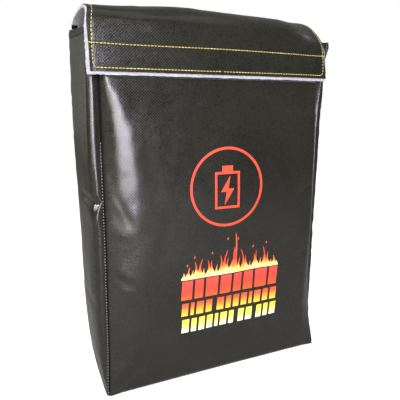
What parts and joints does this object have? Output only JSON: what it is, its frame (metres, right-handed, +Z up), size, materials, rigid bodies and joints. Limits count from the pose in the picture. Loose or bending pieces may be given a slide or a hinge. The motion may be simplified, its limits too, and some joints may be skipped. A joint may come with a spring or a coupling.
{
  "type": "fire-resistant battery bag",
  "caption": "Upright boxed pouch of dark coated cloth with white felt lining, closed by a wide fold-over flap with a hook-and-loop strip, printed flames and bars on the front.",
  "frame": {"origin": "centre of the bounding box's bottom face, under the standing bag", "axes": "+Z up, the printed front faces -Y, +X to the right when looking at the front"},
  "size_m": [0.268, 0.104, 0.3837],
  "materials": {
    "coated_cloth": "silicone-coated twill glass cloth, slight sheen",
    "white_felt": "matte needled glass felt",
    "hook_tape": "moulded hook tape, matte",
    "loop_tape": "brushed loop pile",
    "yellow_thread": "aramid sewing thread",
    "grey_thread": "white sewing thread, dusty",
    "red_print": "matte transfer print",
    "flame_print": "matte transfer print, red to yellow",
    "orange_print": "matte transfer print, orange to yellow",
    "yellow_print": "matte transfer print"
  },
  "bodies": {
    "bag": {"back_panel_lining": "white_felt", "back_panel_shell": "coated_cloth", "bottom_back_seam_thread": "grey_thread", "bottom_front_seam_thread": "grey_thread", "bottom_panel_lining": "white_felt", "bottom_panel_shell": "coated_cloth", "emblem_battery_print": "red_print", "emblem_ring_print": "red_print", "flame_print": "flame_print", "front_panel_lining": "white_felt", "front_panel_shell": "coated_cloth", "left_back_seam_thread": "grey_thread", "left_bottom_seam_thread": "grey_thread", "left_front_seam_thread": "grey_thread", "left_gusset_lining": "white_felt", "left_gusset_shell": "coated_cloth", "loop_strip": "loop_tape", "loop_strip_lower_stitching": "yellow_thread", "loop_strip_upper_stitching": "yellow_thread", "lower_bar_print": "yellow_print", "middle_bar_print": "orange_print", "mouth_hem_stitching": "yellow_thread", "right_back_seam_thread": "grey_thread", "right_bottom_seam_thread": "grey_thread", "right_front_seam_thread": "grey_thread", "right_gusset_lining": "white_felt", "right_gusset_shell": "coated_cloth", "upper_bar_print": "red_print"},
    "flap_crown": {"flap_crown_lining": "white_felt", "flap_crown_shell": "coated_cloth", "flap_lap_seam_stitching": "yellow_thread", "left_crown_edge_stitching": "yellow_thread", "right_crown_edge_stitching": "yellow_thread"},
    "flap_front": {"flap_front_lining": "white_felt", "flap_front_shell": "coated_cloth", "flap_lower_row_stitching": "yellow_thread", "flap_upper_row_stitching": "yellow_thread", "hook_strip": "hook_tape", "left_flap_edge_stitching": "yellow_thread", "right_flap_edge_stitching": "yellow_thread"}
  },
  "joints": [
    {"name": "flap_lift", "type": "hinge", "parent": "bag", "child": "flap_crown", "pos_m": [0, 0.05115, 0.3696], "axis": [-1, 0, 0], "range_deg": [0, 170]},
    {"name": "flap_fold", "type": "hinge", "parent": "flap_crown", "child": "flap_front", "pos_m": [0, -0.05115, 0.35], "axis": [-1, 0, 0], "range_deg": [0, 120]}
  ]
}
